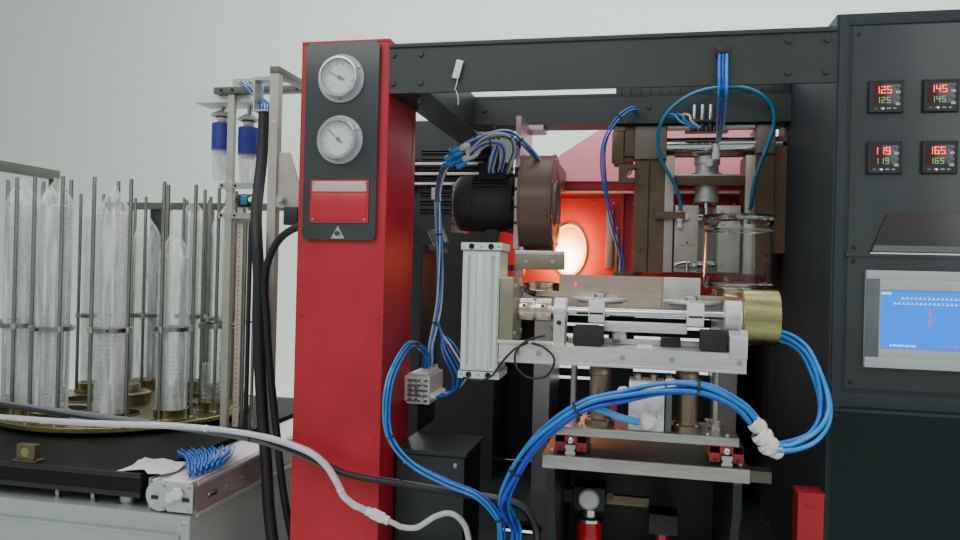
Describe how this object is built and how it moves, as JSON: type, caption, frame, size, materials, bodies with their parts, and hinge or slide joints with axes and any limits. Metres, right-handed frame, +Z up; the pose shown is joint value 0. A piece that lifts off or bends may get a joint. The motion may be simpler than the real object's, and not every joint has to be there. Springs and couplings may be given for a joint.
{
  "type": "blow moulding machine",
  "caption": "Two-stage blow moulding machine with a cup carousel feeder, flip-over transfer bench, oven, mould clamp, hot air blower and control cabinet",
  "frame": {"origin": "on the floor under the centre of the machine's outline", "axes": "+Z up, operator stands at -Y, +X is the operator's right with the control cabinet"},
  "size_m": [2.4, 1.045, 1.9],
  "materials": {
    "dark_paint": "satin",
    "zinc": "satin",
    "red_paint": "satin",
    "black_panel": "gloss",
    "red_plate": "gloss",
    "chrome": "polished",
    "clear_glass": "gloss",
    "black_metal": "satin",
    "black_plastic": "matte",
    "silver_plastic": "satin",
    "pink_sheet": "gloss",
    "steel": "brushed",
    "lamp": "gloss",
    "aluminium": "satin",
    "brown_steel": "satin",
    "mould_metal": "satin",
    "white_plastic": "gloss",
    "brass": "satin",
    "rubber": "matte",
    "clear_plastic": "gloss",
    "pale_paint": "satin",
    "white_belt": "matte",
    "clear_film": "gloss",
    "blue_rubber": "satin",
    "blue_hose": "gloss",
    "cable_black": "matte"
  },
  "bodies": {
    "machine": {"base_frame": "dark_paint", "levelling_feet": "zinc", "lower_panels": "dark_paint", "front_column": "red_paint", "gauge_panel": "black_panel", "instruction_plate": "red_plate", "pressure_gauges": "chrome", "gauge_lenses": "clear_glass", "top_frame": "dark_paint", "control_cabinet": "dark_paint", "control_panel": "black_panel", "temperature_controllers": "black_plastic", "touch_screen": "silver_plastic", "rear_covers": "dark_paint", "oven_front_panel": "red_paint", "tinted_window": "pink_sheet", "oven_housing": "steel", "oven_lamps": "lamp", "blower_bracket": "steel", "blower_motor": "black_metal", "blower_housing": "black_metal", "clamp_frame": "brown_steel", "tie_bars": "chrome", "stretch_cylinder": "aluminium", "valve_manifold": "white_plastic", "junction_box": "dark_paint", "corner_channel": "red_paint", "bench_support": "steel", "linear_rails": "chrome", "feeder_cabinet": "pale_paint", "feeder_table": "black_metal", "conveyor_frame": "aluminium", "conveyor_belt": "white_belt", "picker_frame": "steel", "tube_connector": "white_plastic", "blue_hoses": "blue_hose", "thin_tubes": "blue_hose", "dark_cables": "cable_black"},
    "needle_upper": {"gauge_needle_upper": "black_metal"},
    "needle_lower": {"gauge_needle_lower": "black_metal"},
    "cabinet_door_leaf": {"cabinet_door": "dark_paint"},
    "feeder_door_leaf": {"feeder_door": "pale_paint"},
    "impeller": {"blower_impeller": "aluminium"},
    "mold_left": {"mold_half_left": "mould_metal"},
    "mold_right": {"mold_half_right": "mould_metal"},
    "stretch": {"stretch_rod": "chrome"},
    "carriage": {"transfer_carriage": "steel", "lift_cylinders": "brass"},
    "lift": {"bench_bar": "aluminium", "rotary_actuator": "aluminium", "rubber_stops": "rubber", "swivel_hose": "blue_hose"},
    "flipper": {"flip_shaft": "chrome", "flip_plate": "steel", "brass_roller": "brass", "clear_jar": "clear_plastic"},
    "carousel": {"turntable": "brass", "cage_rods": "steel", "cup_stacks": "clear_film"},
    "picker": {"picker_head": "blue_rubber"}
  },
  "joints": [
    {"name": "needle_upper_turn", "type": "hinge", "parent": "machine", "child": "needle_upper", "pos_m": [-0.012, -0.39, 1.781], "axis": [0, 1, 0], "range_deg": [-73, 197]},
    {"name": "needle_lower_turn", "type": "hinge", "parent": "machine", "child": "needle_lower", "pos_m": [-0.012, -0.39, 1.673], "axis": [0, 1, 0], "range_deg": [-87, 183]},
    {"name": "cabinet_door_hinge", "type": "hinge", "parent": "machine", "child": "cabinet_door_leaf", "pos_m": [1.19, -0.382, 0.66], "axis": [0, 0, 1], "range_deg": [0, 110]},
    {"name": "feeder_door_hinge", "type": "hinge", "parent": "machine", "child": "feeder_door_leaf", "pos_m": [-1.19, -0.382, 0.5], "axis": [0, 0, -1], "range_deg": [0, 110]},
    {"name": "impeller_spin", "type": "hinge", "parent": "machine", "child": "impeller", "pos_m": [0.3, -0.05, 1.592], "axis": [1, 0, 0], "continuous": true},
    {"name": "mold_left_slide", "type": "slide", "parent": "machine", "child": "mold_left", "axis": [1, 0, 0], "range_m": [0, 0.0178]},
    {"name": "mold_right_slide", "type": "slide", "parent": "machine", "child": "mold_right", "axis": [1, 0, 0], "range_m": [-0.0178, 0]},
    {"name": "stretch_slide", "type": "slide", "parent": "machine", "child": "stretch", "axis": [0, 0, 1], "range_m": [-0.06, 0]},
    {"name": "carriage_slide", "type": "slide", "parent": "machine", "child": "carriage", "axis": [0, 1, 0], "range_m": [0, 0.08]},
    {"name": "lift_slide", "type": "slide", "parent": "carriage", "child": "lift", "axis": [0, 0, 1], "range_m": [0, 0.045]},
    {"name": "flip_turn", "type": "hinge", "parent": "lift", "child": "flipper", "pos_m": [0.5, -0.44, 1.39], "axis": [1, 0, 0], "range_deg": [0, 90]},
    {"name": "carousel_spin", "type": "hinge", "parent": "machine", "child": "carousel", "pos_m": [-0.811, 0.135, 1.06], "axis": [0, 0, 1], "continuous": true},
    {"name": "picker_slide", "type": "slide", "parent": "machine", "child": "picker", "axis": [1, 0, 0], "range_m": [0, 0.07]}
  ],
  "couplings": [
    {"joint": "mold_right_slide", "follows": "mold_left_slide", "ratio": -1}
  ]
}
